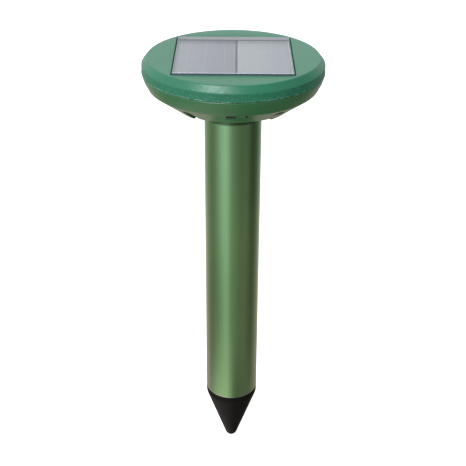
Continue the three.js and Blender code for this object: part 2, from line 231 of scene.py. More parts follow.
def finish_piece(piece, body, nodes, material, smooth=35):
    """Smooths a piece, gives it its material and puts it on its body in place of its CAD nodes."""
    select_only(piece)
    bpy.ops.object.shade_smooth_by_angle(angle=math.radians(smooth))
    piece.data.materials.clear()
    piece.data.materials.append(material)
    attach(piece, body)
    if nodes:
        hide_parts(*nodes)


def on_screw_circle(degrees):
    """A case screw's place, with the angle measured from the front."""
    angle = math.radians(degrees)
    return SCREW_CIRCLE * math.sin(angle), -SCREW_CIRCLE * math.cos(angle)


# Materials. Patterns read Object coordinates, which are metres in the row frame.
def new_material(name):
    material = bpy.data.materials.new(name)
    material.use_nodes = True
    tree = material.node_tree
    return material, tree, tree.nodes["Principled BSDF"]


def place(tree, stretch=(1, 1, 1)):
    """Object coordinates, squeezed or stretched along each axis."""
    coordinates = tree.nodes.new("ShaderNodeTexCoord")
    mapping = tree.nodes.new("ShaderNodeMapping")
    mapping.inputs["Scale"].default_value = stretch
    tree.links.new(coordinates.outputs["Object"], mapping.inputs["Vector"])
    return mapping.outputs["Vector"]


def noise(tree, scale, detail=3, stretch=(1, 1, 1)):
    """Cloudy noise that stays with the piece."""
    texture = tree.nodes.new("ShaderNodeTexNoise")
    texture.inputs["Scale"].default_value = scale
    texture.inputs["Detail"].default_value = detail
    tree.links.new(place(tree, stretch), texture.inputs["Vector"])
    return texture.outputs["Fac"]


def between(tree, value, low, high, from_low=0.3, from_high=0.7, smooth=False):
    """Maps a value to a range."""
    remap = tree.nodes.new("ShaderNodeMapRange")
    if smooth:
        remap.interpolation_type = "SMOOTHSTEP"
    remap.inputs["From Min"].default_value = from_low
    remap.inputs["From Max"].default_value = from_high
    remap.inputs["To Min"].default_value = low
    remap.inputs["To Max"].default_value = high
    tree.links.new(value, remap.inputs["Value"])
    return remap.outputs["Result"]


def blend_colours(tree, share, first, second):
    mix = tree.nodes.new("ShaderNodeMix")
    mix.data_type = "RGBA"
    tree.links.new(share, mix.inputs["Factor"])
    for socket, colour in ((mix.inputs["A"], first), (mix.inputs["B"], second)):
        if isinstance(colour, tuple):
            socket.default_value = (*colour, 1)
        else:
            tree.links.new(colour, socket)
    return mix.outputs["Result"]


def combine_values(tree, operation, first, second):
    """One step of arithmetic on numbers or node values."""
    maths = tree.nodes.new("ShaderNodeMath")
    maths.operation = operation
    for socket, value in zip(maths.inputs, (first, second)):
        if isinstance(value, (int, float)):
            socket.default_value = value
        else:
            tree.links.new(value, socket)
    return maths.outputs["Value"]


def axis_value(tree, axis):
    """The distance along one axis of the row frame, in millimetres."""
    split = tree.nodes.new("ShaderNodeSeparateXYZ")
    tree.links.new(place(tree, (1 / MM,) * 3), split.inputs["Vector"])
    return split.outputs[axis]


def bump(tree, shader, height, distance, strength=1.0):
    relief = tree.nodes.new("ShaderNodeBump")
    relief.inputs["Distance"].default_value = distance * MM
    if isinstance(strength, float):
        relief.inputs["Strength"].default_value = strength
    else:
        tree.links.new(strength, relief.inputs["Strength"])
    tree.links.new(height, relief.inputs["Height"])
    tree.links.new(relief.outputs["Normal"], shader.inputs["Normal"])


def shade(colour, factor):
    return tuple(channel * factor for channel in colour)


def moulded(name, colour, roughness, grain=0.6, relief=0.02, spread=0.08):
    """Moulded plastic or rubber with a fine eroded grain and faint flow marks."""
    material, tree, shader = new_material(name)
    patches = between(tree, noise(tree, 45), 0, 1)
    tree.links.new(blend_colours(tree, patches, shade(colour, 1 - spread), shade(colour, 1 + spread)),
                   shader.inputs["Base Color"])
    speckle = noise(tree, 1 / (grain * MM), 2)
    tree.links.new(between(tree, speckle, roughness - 0.05, roughness + 0.07), shader.inputs["Roughness"])
    bump(tree, shader, speckle, relief)
    return material


def cover_plastic():
    """The top cover's gloss plastic: finely eroded, most of all on the band, with painted glints on the band
    and a painted highlight along the lip at the seam.
    """
    material, tree, shader = new_material("cover_green")
    base = (0.019, 0.183, 0.098)
    patches = between(tree, noise(tree, 40), 0, 1)
    body = blend_colours(tree, patches, shade(base, 0.94), shade(base, 1.06))
    height = axis_value(tree, "Z")
    band_edge = HEAD_TOP - BEVEL_HEIGHT
    on_band = between(tree, height, 1, 0, band_edge - 0.3, band_edge + 0.3)
    # Painted glints: lighter flecks on the band stand in for sparkle off its eroded grain.
    painted_glints = between(tree, noise(tree, 1 / (1.3 * MM), 2), 0, 1, 0.5, 0.75)
    body = blend_colours(tree, combine_values(tree, "MULTIPLY", painted_glints, on_band), body, (0.04, 0.28, 0.17))
    # Painted highlight: pale patches along the cover's lip just above the seam.
    on_lip = between(tree, height, 1, 0, SEAM + 0.5, SEAM + 0.9)
    painted_light_mask = between(tree, noise(tree, 1 / (2.2 * MM), 2), 0, 1, 0.42, 0.6)
    wear_and_highlight = combine_values(tree, "MULTIPLY", on_lip, painted_light_mask)
    tree.links.new(blend_colours(tree, wear_and_highlight, body, (0.27, 0.5, 0.39)), shader.inputs["Base Color"])
    on_flat = between(tree, height, 0, 1, HEAD_TOP - 0.35, HEAD_TOP - 0.1)
    speckle = noise(tree, 1 / (1.1 * MM), 3)
    grain = combine_values(tree, "MAXIMUM", combine_values(tree, "MULTIPLY", on_band, 0.75),
                           combine_values(tree, "MULTIPLY", on_flat, 0.1))
    bump(tree, shader, speckle, 0.35, combine_values(tree, "ADD", grain, 0.5))
    rough = between(tree, speckle, 0.27, 0.36)
    tree.links.new(combine_values(tree, "ADD", rough, combine_values(tree, "MULTIPLY", grain, 0.12)),
                   shader.inputs["Roughness"])
    return material


def anodised_aluminium():
    """Satin green anodised tube with fine lines along its length from the extrusion die, and a painted shadow
    ring just below the neck.
    """
    material, tree, shader = new_material("tube_anodised")
    base = (0.235, 0.445, 0.2)
    streaks = noise(tree, 900, 3, (1, 1, 0.012))
    clouds = noise(tree, 18, 3, (1, 1, 0.5))
    colour = blend_colours(tree, between(tree, clouds, 0, 1), shade(base, 0.95), shade(base, 1.05))
    dye_and_shadow = blend_colours(tree, between(tree, streaks, 0, 0.22), colour, shade(base, 0.8))
    height = axis_value(tree, "Z")
    sawn = combine_values(tree, "MAXIMUM", between(tree, height, 1, 0, TUBE_LOW.z + 0.42, TUBE_LOW.z + 0.5),
                          between(tree, height, 0, 1, TUBE_HIGH.z - 0.5, TUBE_HIGH.z - 0.42))
    # Painted shadow: a dark ring on the tube just below the neck, where the rim's shadow falls.
    painted_light_mask = combine_values(tree, "MINIMUM", between(tree, height, 0, 1, HEAD_TOP - 43.4, HEAD_TOP - 42.2),
                            between(tree, height, 1, 0, HEAD_TOP - 38.5, HEAD_TOP - 37.5))
    dye_and_shadow = blend_colours(tree, painted_light_mask, dye_and_shadow, shade(base, 0.25))
    tree.links.new(blend_colours(tree, sawn, dye_and_shadow, (0.78, 0.8, 0.74)), shader.inputs["Base Color"])
    shader.inputs["Metallic"].default_value = 1.0
    tree.links.new(between(tree, streaks, 0.23, 0.31), shader.inputs["Roughness"])
    shader.inputs["Coat Weight"].default_value = 0.5
    shader.inputs["Coat Roughness"].default_value = 0.2
    bump(tree, shader, streaks, 0.012)
    return material


def spike_plastic():
    """Matt black plastic with a coarse grain, dulled and scuffed towards the tip."""
    material, tree, shader = new_material("spike_black")
    near_tip = between(tree, axis_value(tree, "Z"), 1, 0, 2, 22, smooth=True)
    scuffs = between(tree, noise(tree, 500, 4, (1, 1, 0.35)), 0, 1, 0.45, 0.7)
    wear_and_highlight = combine_values(tree, "MULTIPLY", near_tip, scuffs)
    speckle = noise(tree, 1100, 3)
    body = blend_colours(tree, between(tree, speckle, 0, 1), (0.006, 0.006, 0.006), (0.01, 0.01, 0.01))
    tree.links.new(blend_colours(tree, wear_and_highlight, body, (0.035, 0.034, 0.032)), shader.inputs["Base Color"])
    tree.links.new(between(tree, speckle, 0.45, 0.6), shader.inputs["Roughness"])
    shader.inputs["Specular IOR Level"].default_value = 0.08
    bump(tree, shader, speckle, 0.05)
    return material


def metal(name, colour, roughness, streak=(1, 1, 1)):
    material, tree, shader = new_material(name)
    marks = noise(tree, 700, 3, streak)
    tree.links.new(blend_colours(tree, between(tree, marks, 0, 1), shade(colour, 0.88), shade(colour, 1.08)),
                   shader.inputs["Base Color"])
    shader.inputs["Metallic"].default_value = 1.0
    tree.links.new(between(tree, marks, roughness - 0.06, roughness + 0.1), shader.inputs["Roughness"])
    bump(tree, shader, marks, 0.01)
    return material


def solar_cell():
    """Lavender-grey thin cells with faint collector lines; a painted reflection makes the right cell lighter
    than the left and each a little darker towards its right edge.
    """
    material, tree, shader = new_material("solar_cell")
    across = axis_value(tree, "X")
    along = axis_value(tree, "Y")
    half = combine_values(tree, "GREATER_THAN", across, CELL_SPLIT)
    start = combine_values(tree, "SUBTRACT", combine_values(tree, "MULTIPLY", half, CELL_PITCH), CELL_WIDTH)
    from_start = combine_values(tree, "SUBTRACT", across, start)
    share = between(tree, from_start, 0, 1, 0, CELL_WIDTH, smooth=True)
    # Painted reflection: a lighter and a darker tone for each cell, the right cell lighter, blended darker
    # towards each cell's right edge.
    bright = blend_colours(tree, half, (0.215, 0.222, 0.23), (0.305, 0.33, 0.315))
    dark = blend_colours(tree, half, (0.12, 0.122, 0.135), (0.225, 0.23, 0.24))
    body = blend_colours(tree, share, bright, dark)
    fingers = combine_values(tree, "PINGPONG", along, 1.1)
    on_finger = between(tree, fingers, 1, 0, 0.03, 0.09)
    bars = combine_values(tree, "PINGPONG", from_start, 6.4)
    on_bar = between(tree, bars, 0, 1, 6.2, 6.3)
    lines = combine_values(tree, "MAXIMUM", combine_values(tree, "MULTIPLY", on_finger, 0.25),
                           combine_values(tree, "MULTIPLY", on_bar, 0.3))
    mottled = between(tree, noise(tree, 160, 4), 0, 0.3)
    body = blend_colours(tree, mottled, body, (0.2, 0.2, 0.23))
    body = blend_colours(tree, lines, body, (0.5, 0.5, 0.54))
    from_split = combine_values(tree, "ABSOLUTE", combine_values(tree, "SUBTRACT", across, CELL_SPLIT), 0)
    seam_edge = between(tree, from_split, 1, 0, 0.8, 0.9)
    tree.links.new(blend_colours(tree, seam_edge, body, (0.02, 0.02, 0.024)), shader.inputs["Base Color"])
    tree.links.new(between(tree, noise(tree, 300, 3), 0.16, 0.26), shader.inputs["Roughness"])
    shader.inputs["IOR"].default_value = 2.1
    return material


def panel_backing():
    """White laminate behind the cells, with a dark strip where the two cells meet."""
    material, tree, shader = new_material("panel_backing")
    weave = noise(tree, 1500, 2)
    white = blend_colours(tree, between(tree, weave, 0, 1), (0.62, 0.63, 0.65), (0.72, 0.73, 0.75))
    from_split = combine_values(tree, "ABSOLUTE", combine_values(tree, "SUBTRACT", axis_value(tree, "X"),
                                                                 CELL_SPLIT), 0)
    strip = between(tree, from_split, 1, 0, 0.9, 1.1)
    tree.links.new(blend_colours(tree, strip, white, (0.03, 0.032, 0.035)), shader.inputs["Base Color"])
    shader.inputs["Roughness"].default_value = 0.45
    bump(tree, shader, weave, 0.01)
    return material


def window_glass():
    """A clear pane: mostly what lies under it, with a gloss that grows at flat viewing angles."""
    material, tree, shader = new_material("panel_window")
    shader.inputs["Base Color"].default_value = (0.8, 0.83, 0.88, 1)
    tree.links.new(between(tree, noise(tree, 60, 4), 0.03, 0.075), shader.inputs["Roughness"])
    shader.inputs["Metallic"].default_value = 1.0
    clear = tree.nodes.new("ShaderNodeBsdfTransparent")
    clear.inputs["Color"].default_value = (0.96, 0.97, 0.98, 1)
    fresnel = tree.nodes.new("ShaderNodeFresnel")
    fresnel.inputs["IOR"].default_value = 1.5
    geometry = tree.nodes.new("ShaderNodeNewGeometry")
    outside = combine_values(tree, "SUBTRACT", 1.0, geometry.outputs["Backfacing"])
    mix = tree.nodes.new("ShaderNodeMixShader")
    tree.links.new(combine_values(tree, "MULTIPLY", fresnel.outputs["Fac"], outside), mix.inputs["Fac"])
    tree.links.new(clear.outputs["BSDF"], mix.inputs[1])
    tree.links.new(shader.outputs["BSDF"], mix.inputs[2])
    tree.links.new(mix.outputs["Shader"], tree.nodes["Material Output"].inputs["Surface"])
    return material


def ground_glass(name, dark, light):
    """A ground edge of the pane."""
    material, tree, shader = new_material(name)
    marks = noise(tree, 500, 3, (1, 1, 4))
    tree.links.new(blend_colours(tree, between(tree, marks, 0, 1), dark, light), shader.inputs["Base Color"])
    tree.links.new(between(tree, marks, 0.2, 0.4), shader.inputs["Roughness"])
    return material


def board_laminate():
    """Green solder mask with raised copper tracks under it."""
    material, tree, shader = new_material("board_laminate")
    brick = tree.nodes.new("ShaderNodeTexBrick")
    brick.inputs["Scale"].default_value = 260
    brick.inputs["Mortar Size"].default_value = 0.04
    brick.inputs["Color1"].default_value = (0.012, 0.1, 0.035, 1)
    brick.inputs["Color2"].default_value = (0.016, 0.12, 0.04, 1)
    brick.inputs["Mortar"].default_value = (0.04, 0.24, 0.07, 1)
    tree.links.new(place(tree), brick.inputs["Vector"])
    tree.links.new(brick.outputs["Color"], shader.inputs["Base Color"])
    tree.links.new(between(tree, noise(tree, 800), 0.25, 0.4), shader.inputs["Roughness"])
    bump(tree, shader, brick.outputs["Fac"], 0.03)
    return material


def make_materials():
    return {
        "cover_green": cover_plastic(),
        "housing_green": moulded("housing_green", (0.04, 0.195, 0.068), 0.3, 0.9, 0.03, 0.05),
        "seal_rubber": moulded("seal_rubber", (0.018, 0.018, 0.018), 0.75, 0.4, 0.02),
        "panel_backing": panel_backing(),
        "solar_cell": solar_cell(),
        "panel_window": window_glass(),
        "screw_steel": metal("screw_steel", (0.55, 0.55, 0.56), 0.32),
        "contact_metal": metal("contact_metal", (0.62, 0.6, 0.55), 0.25, (1, 6, 1)),
        "board_laminate": board_laminate(),
        "black_plastic": moulded("black_plastic", (0.02, 0.02, 0.021), 0.5),
        "knob_plastic": moulded("knob_plastic", (0.08, 0.24, 0.09), 0.42, 0.5, 0.02),
        "capacitor_sleeve": moulded("capacitor_sleeve", (0.015, 0.03, 0.09), 0.28, 0.9, 0.008),
        "ferrite": moulded("ferrite", (0.035, 0.034, 0.036), 0.6, 0.3, 0.03, 0.15),
        "battery_sleeve": moulded("battery_sleeve", (0.04, 0.22, 0.07), 0.3, 1.2, 0.01),
        "lead_black": moulded("lead_black", (0.015, 0.015, 0.016), 0.4, 0.5, 0.008),
        "lead_red": moulded("lead_red", (0.32, 0.02, 0.015), 0.4, 0.5, 0.008),
        "connector_nylon": moulded("connector_nylon", (0.72, 0.7, 0.62), 0.45, 0.5, 0.01),
        "tube_anodised": anodised_aluminium(),
        "cone_paper": moulded("cone_paper", (0.04, 0.037, 0.033), 0.9, 0.5, 0.06, 0.2),
        "coil_copper": metal("coil_copper", (0.75, 0.34, 0.16), 0.3, (1, 1, 12)),
        "spike_black": spike_plastic(),
    }


# The head.
def cone_height(radius):
    """Height of the underside cone at a radius."""
    return HIP_HEIGHT - CONE_START_DROP - (HIP_RADIUS - CONE_START_INSET - radius) * CONE_SLOPE


def cone_radius(height):
    """Radius of the underside cone at a height."""
    return HIP_RADIUS - CONE_START_INSET - (HIP_HEIGHT - CONE_START_DROP - height) / CONE_SLOPE


def lower_outline_outside():
    """From the pads' edge up the cone, round the hip and up the bowl to the seam."""
    hip = [
        (HIP_RADIUS - 1.9, cone_height(HIP_RADIUS - 1.9)),
        (HIP_RADIUS - 1.1, HIP_HEIGHT - 1.15),
        (HIP_RADIUS - 0.45, HIP_HEIGHT - 0.55),
        (HIP_RADIUS - 0.05, HIP_HEIGHT + 0.2),
        (HIP_RADIUS + 0.3, HIP_HEIGHT + 1.1),
    ]
    bowl = [(60.7, HIP_HEIGHT + 4.2), (61.55, HIP_HEIGHT + 6.9)]
    seam = [(HEAD_RADIUS + 0.02, SEAM - SEAM_GAP / 2 - 0.35), (HEAD_RADIUS - 0.25, SEAM - SEAM_GAP / 2)]
    return [(cone_radius(PAD_HEIGHT + 0.4), PAD_HEIGHT + 0.4)] + hip + bowl + seam


def radial_slot(name, inner, radius, z0, z1, degrees):
    """A block with one round end that points away from the axis."""
    end = peg(name, 0, -SCREW_CIRCLE, radius, z0, z1, 48)
    body = block("slot_body", -radius, radius, -SCREW_CIRCLE, -inner, z0, z1)
    return turn(combine(end, [body], "UNION"), degrees)


def lower_envelope():
    """The lower housing's outside as a full solid."""
    outline = [(0, PAD_HEIGHT), (cone_radius(PAD_HEIGHT + 0.4) - EDGE_ROUND, PAD_HEIGHT)]
    outline += lower_outline_outside() + [(0, SEAM - SEAM_GAP / 2)]
    return turned("lower_envelope", outline, AROUND)


def neck_recess():
    """The ring-shaped hollow round the tube, under the head."""
    low, high = PAD_HEIGHT - 5, RECESS_CEILING
    return turned("recess", [(SOCKET_RADIUS, low), (PAD_INNER, low), (PAD_INNER, high),
                             (SOCKET_RADIUS, high), (SOCKET_RADIUS, low)], AROUND)


def lower_housing(material):
    """The lower shell with its socket and spigot, screw wells, board posts, raised rims and switch window."""
    floor = RECESS_CEILING + WALL
    trough = PAD_HEIGHT + 5
    lip = SEAM + 2.4
    outline = [
        (SPIGOT_BORE, SPIGOT_LOW), (SPIGOT_RADIUS - 0.4, SPIGOT_LOW),
        (SPIGOT_RADIUS, SPIGOT_LOW + 0.4), (SPIGOT_RADIUS, SOCKET_CEILING),
        (SOCKET_RADIUS, SOCKET_CEILING), (SOCKET_RADIUS, RECESS_CEILING + 0.5),
        (SOCKET_RADIUS + 0.5, RECESS_CEILING), (PAD_INNER - 0.6, RECESS_CEILING),
        (PAD_INNER, RECESS_CEILING - 0.6), (PAD_INNER, PAD_HEIGHT + EDGE_ROUND),
        (PAD_INNER + EDGE_ROUND, PAD_HEIGHT), (cone_radius(PAD_HEIGHT + 0.4) - EDGE_ROUND, PAD_HEIGHT),
    ]
    outline += lower_outline_outside()
    outline += [
        (61.25, SEAM - SEAM_GAP / 2), (61.25, SEAM - 1.6), (60.1, SEAM - 1.6),
        (60.1, SEAM - SEAM_GAP / 2), (59.3, SEAM - SEAM_GAP / 2), (59.3, lip), (57.8, lip),
        (57.8, HEAD_TOP - 15.6), (HIP_RADIUS - WALL, HIP_HEIGHT + 1.1),
        (HIP_RADIUS - WALL - 0.9, cone_height(HIP_RADIUS - WALL - 0.9) + CONE_THICKNESS),
        (cone_radius(trough - CONE_THICKNESS), trough), (PAD_INNER + WALL, trough),
        (PAD_INNER + WALL, floor), (SOCKET_RADIUS + 2.4, floor),
        (SOCKET_RADIUS + 2.4, SOCKET_CEILING + 2.2), (SPIGOT_BORE, SOCKET_CEILING + 2.2),
        (SPIGOT_BORE, SPIGOT_LOW),
    ]
    piece = turned("head_lower_shell", outline, AROUND)
    for degrees in SCREW_ANGLES:
        boss = radial_slot("boss", 34.8, WELL_RADIUS + 2, PAD_HEIGHT + 0.5, SEAT_HEIGHT + 2.2, degrees)
        combine(boss, [lower_envelope()], "INTERSECT")
        combine(boss, [neck_recess()], "DIFFERENCE")
        combine(piece, [boss], "UNION")
    # The rim stands higher at the front and back, between the side pads.
    for degrees in (0, 180):
        wedge = block("rim_cut", -70, 70, -70, 0, PAD_HEIGHT - 5, RIM_HEIGHT)
        for sign in (-1, 1):
            side = block("rim_cut_side", 0, 90, -90, 90, PAD_HEIGHT - 6, RIM_HEIGHT + 1)
            if sign < 0:
                turn(side, 180)
            turn(side, sign * RAISED_RIM_HALF_ANGLE)
            combine(wedge, [side], "DIFFERENCE")
        combine(piece, [turn(wedge, degrees)], "DIFFERENCE")
    for degrees in SCREW_ANGLES:
        well = radial_slot("well", 37, WELL_RADIUS, PAD_HEIGHT - 5, SEAT_HEIGHT, degrees)
        hole = peg("screw_hole", *on_screw_circle(degrees), 1.7, SEAT_HEIGHT - 1, SEAT_HEIGHT + 4)
        combine(piece, [well, hole], "DIFFERENCE")
    for x in BOARD_SCREW_X:
        combine(piece, [peg("board_post", x, BOARD_SCREW_Y, 2.8, floor - 0.6, HEAD_TOP - 11.3)], "UNION")
        combine(piece, [peg("board_hole", x, BOARD_SCREW_Y, 1.3, HEAD_TOP - 19, HEAD_TOP - 10)], "DIFFERENCE")
    window = block("switch_window", *WINDOW_X, *WINDOW_Y, HEAD_TOP - 33, HEAD_TOP - 17, 0.6)
    combine(piece, [window], "DIFFERENCE")
    finish_piece(piece, "head", ["lower_housing"], material, 28)


def soften_pocket_edge(piece):
    """Rounds the pocket's upper edge."""
    select_only(piece)
    corners = piece.data.vertices
    for edge in piece.data.edges:
        a, b = (corners[i].co / MM for i in edge.vertices)
        on_top = min(a.z, b.z) > HEAD_TOP - 0.01
        inside = max(abs(a.x), abs(b.x)) < POCKET_X + 0.01 and max(abs(a.y), abs(b.y)) < POCKET_Y + 0.01
        middle = (a + b) / 2
        on_wall = abs(middle.x) > POCKET_X - 0.9 or abs(middle.y) > POCKET_Y - 0.9
        edge.select = on_top and inside and on_wall
    bpy.ops.object.mode_set(mode="EDIT")
    bpy.ops.mesh.select_mode(type="EDGE")
    bpy.ops.mesh.bevel(offset=0.25 * MM, segments=3, affect="EDGES")
    bpy.ops.object.mode_set(mode="OBJECT")


def top_cover(material):
    """The upper shell with its band, bevel and flat, the panel's pocket and the posts for the case screws."""
    band_edge = HEAD_TOP - BEVEL_HEIGHT
    seam = SEAM + SEAM_GAP / 2
    outline = [
        (0, HEAD_TOP - WALL), (COVER_INNER_RADIUS - 2.8, HEAD_TOP - WALL),
        (COVER_INNER_RADIUS, HEAD_TOP - 5.2), (COVER_INNER_RADIUS, seam),
        (HEAD_RADIUS - 0.2, seam), (HEAD_RADIUS + 0.14, seam + 0.22), (HEAD_RADIUS + 0.19, seam + 0.42),
        (HEAD_RADIUS - 0.03, seam + 0.7), (HEAD_RADIUS + 0.02, band_edge - 0.35),
        (HEAD_RADIUS - 0.1, band_edge + 0.1), (HEAD_RADIUS - 0.42, band_edge + 0.55),
        (RIDGE_RADIUS + 0.45, HEAD_TOP - 0.62), (RIDGE_RADIUS + 0.12, HEAD_TOP - 0.27),
        (RIDGE_RADIUS - 0.25, HEAD_TOP - 0.07), (RIDGE_RADIUS - 0.75, HEAD_TOP), (0, HEAD_TOP),
    ]
    piece = turned("head_top_shell", outline, AROUND)
    tray = block("tray", -POCKET_X - 2, POCKET_X + 2, -POCKET_Y - 2, POCKET_Y + 2,
                 HEAD_TOP - 6.2, HEAD_TOP - 1, 1.5)
    combine(piece, [tray], "UNION")
    for degrees in SCREW_ANGLES:
        x, y = on_screw_circle(degrees)
        combine(piece, [peg("post", x, y, 3.6, SEAT_HEIGHT + 2.5, HEAD_TOP - 5.5)], "UNION")
        combine(piece, [peg("pilot", x, y, 1.55, SEAT_HEIGHT + 2, HEAD_TOP - 7.5)], "DIFFERENCE")
    floor = HEAD_TOP - POCKET_DEPTH
    pocket = block("pocket", -POCKET_X, POCKET_X, -POCKET_Y, POCKET_Y, floor, HEAD_TOP + 2, 0.8)
    combine(piece, [pocket], "DIFFERENCE")
    soften_pocket_edge(piece)
    combine(piece, [peg("lead_hole", 6, -18, 2.2, HEAD_TOP - 8, floor + 1)], "DIFFERENCE")
    finish_piece(piece, "head", ["top_cover"], material, 28)


def panel(materials):
    """The pane, with ground edges, over the two cells and their soldered ribbons."""
    pane = block("solar_pane", GLASS_LOW.x, GLASS_HIGH.x, GLASS_LOW.y, GLASS_HIGH.y,
                 GLASS_LOW.z, GLASS_HIGH.z, 0.5)
    soften(pane, 0.22, 1, 50)
    finish_piece(pane, "head", ["panel_glass"], materials["panel_window"], 8)
    pane.data.materials.append(ground_glass("pane_edge", (0.1, 0.125, 0.16), (0.16, 0.19, 0.235)))
    # Painted highlights: the arris and the rear face get paler copies of the ground edge, standing in for
    # light caught on those edges.
    pane.data.materials.append(ground_glass("pane_arris_painted_highlight", (0.62, 0.64, 0.7), (0.75, 0.77, 0.82)))
    pane.data.materials.append(ground_glass("pane_rear_painted_highlight", (0.36, 0.37, 0.39), (0.44, 0.45, 0.47)))
    # The upward arris and the rear face take the pale painted-highlight copies; the other upright faces keep
    # the darker ground edge.
    for face in pane.data.polygons:
        upright = abs(face.normal.z) < 0.4
        arris = 0.4 < face.normal.z < 0.95
        rear = upright and face.normal.y > 0.5
        face.material_index = 3 if rear else 2 if arris else 1 if upright else 0


def screws(material):
    """Pan-head screws with a cross recess, modelled at each place."""
    for name, x, y, head_radius, shank_radius in screw_places():
        low, high = (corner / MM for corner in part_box(name))
        upwards = name.startswith("case")
        head_low = low.z if upwards else high.z
        sign = 1 if upwards else -1
        shank_end = high.z if upwards else low.z
        under = head_low + sign * (2.2 if upwards else 1.6)
        outline = [(0, head_low), (head_radius * 0.55, head_low), (head_radius * 0.86, head_low + sign * 0.3),
                   (head_radius, head_low + sign * 1.0), (head_radius, under), (shank_radius, under)]
        turns = 8
        for i in range(turns):
            start = under + (shank_end - under) * (i + 0.6) / (turns + 1)
            outline += [(shank_radius, start), (shank_radius * 0.86, start + sign * 0.35)]
        outline += [(shank_radius * 0.8, shank_end - sign * 0.4), (0, shank_end)]
        piece = turned(name + "_turned", outline, AROUND_SMALL // 2)
        recess = []
        for half_x, half_y in ((1.7, 0.42), (0.42, 1.7)):
            z0, z1 = sorted((head_low - sign * 0.5, head_low + sign * 1.0))
            recess.append(block("recess", -half_x, half_x, -half_y, half_y, z0, z1))
        combine(piece, recess, "DIFFERENCE")
        piece.location = (x * MM, y * MM, 0)
        settle(piece)
        finish_piece(piece, "head", [name], material, 30)


def screw_places():
    """Each screw's node, place, head radius and shank radius."""
    places = []
    for i, degrees in enumerate(SCREW_ANGLES):
        places.append((f"case_screw_{i + 1}", *on_screw_circle(degrees), 2.9, 1.3))
    for i, x in enumerate(BOARD_SCREW_X):
        places.append((f"board_screw_{i + 1}", x, BOARD_SCREW_Y, 2.4, 1.05))
    return places


def switch_knob(material):
    """The slide's knob, grooved underneath for grip, with its stem into the switch."""
    low, high = (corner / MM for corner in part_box("switch_knob"))
    top = low.z + KNOB_HEIGHT
    piece = block("slide_knob", low.x, high.x, low.y, high.y, low.z, top, 0.5)
    grooves = []
    for i in range(4):
        x = low.x + (high.x - low.x) * (i + 1) / 5
        grooves.append(block("groove", x - 0.32, x + 0.32, low.y - 1, high.y + 1, low.z - 1, low.z + 0.6))
    combine(piece, grooves, "DIFFERENCE")
    soften(piece, 0.12, 2, 50)
    middle = (low + high) / 2
    stem = block("stem", middle.x - 2, middle.x + 2, middle.y - 1, middle.y + 1, top - 0.5, high.z, 0.3)
    combine(piece, [stem], "UNION")
    finish_piece(piece, "knob", ["switch_knob"], material)


# The tube and the spike.
def tube(material):
    """A thin tube with its sawn ends lightly broken."""
    low, high = TUBE_LOW.z, TUBE_HIGH.z
    inner = TUBE_RADIUS - TUBE_WALL
    outline = [(inner + 0.3, low), (TUBE_RADIUS - 0.45, low), (TUBE_RADIUS - 0.12, low + 0.12),
               (TUBE_RADIUS, low + 0.45)]
    outline += arc(TUBE_RADIUS - EDGE_ROUND, high - EDGE_ROUND, EDGE_ROUND, 0, 90, 3)
    outline += [(inner + 0.3, high), (inner, high - 0.3), (inner, low + 0.3), (inner + 0.3, low)]
    piece = turned("anodised_tube", outline, AROUND)
    finish_piece(piece, "tube_assembly", ["tube"], material, 50)


def ground_spike(material):
    """A hollow moulded cone with a rounded nose and a plug that fills the tube's end."""
    half_angle = math.radians(SPIKE_HALF_ANGLE)
    shoulder = TUBE_LOW.z - SEAM_GAP
    cone_top = shoulder - SPIKE_SHOULDER_LENGTH
    apex = SPIKE_NOSE - SPIKE_NOSE / math.sin(half_angle)
    base = (cone_top - apex) * math.tan(half_angle)
    plug = TUBE_RADIUS - TUBE_WALL - 0.3
    top = SPIKE_HIGH.z
    outline = [(0, 0)] + arc(0, SPIKE_NOSE, SPIKE_NOSE, -84, -SPIKE_HALF_ANGLE, 12)
    outline += [(base - 0.28, cone_top - 0.8), (base - 0.06, cone_top + 0.1), (base, cone_top + 1.0),
                (base, shoulder - 0.3), (base - 0.3, shoulder),
                (plug, shoulder), (plug, shoulder + 8), (plug - 1.2, shoulder + 8),
                (plug - 1.2, shoulder + 10.6), (plug, shoulder + 10.6), (plug, top - 1.5), (plug - 1.2, top),
                (14.5, top), (14.5, shoulder + 2), (8.5, 32), (0, 30)]
    piece = turned("spike_cone", outline, AROUND)
    finish_piece(piece, "spike", ["ground_spike"], material, 30)


# The stage.
def camera():
    """Stands in front of the switch side and looks down at it."""
    bpy.ops.object.camera_add(location=CAMERA_PLACE)
    view = bpy.context.object
    view.rotation_mode = "ZYX"
    view.rotation_euler = (math.radians(90 - CAMERA_TILT), 0, math.radians(CAMERA_PAN))
    view.data.sensor_width = 36
    view.data.lens = CAMERA_LENS
    view.data.clip_start = 0.01
    bpy.context.scene.camera = view


def ramp(tree, value, stops, smooth=False):
    """A colour ramp through (position, colour) stops."""
    node = tree.nodes.new("ShaderNodeValToRGB")
    node.color_ramp.interpolation = "EASE" if smooth else "LINEAR"
    elements = node.color_ramp.elements
    while len(elements) > 1:
        elements.remove(elements[-1])
    elements[0].position, elements[0].color = stops[0][0], (*stops[0][1], 1)
    for position, colour in stops[1:]:
        elements.new(position).color = (*colour, 1)
    tree.links.new(value, node.inputs["Fac"])
    return node.outputs["Color"]


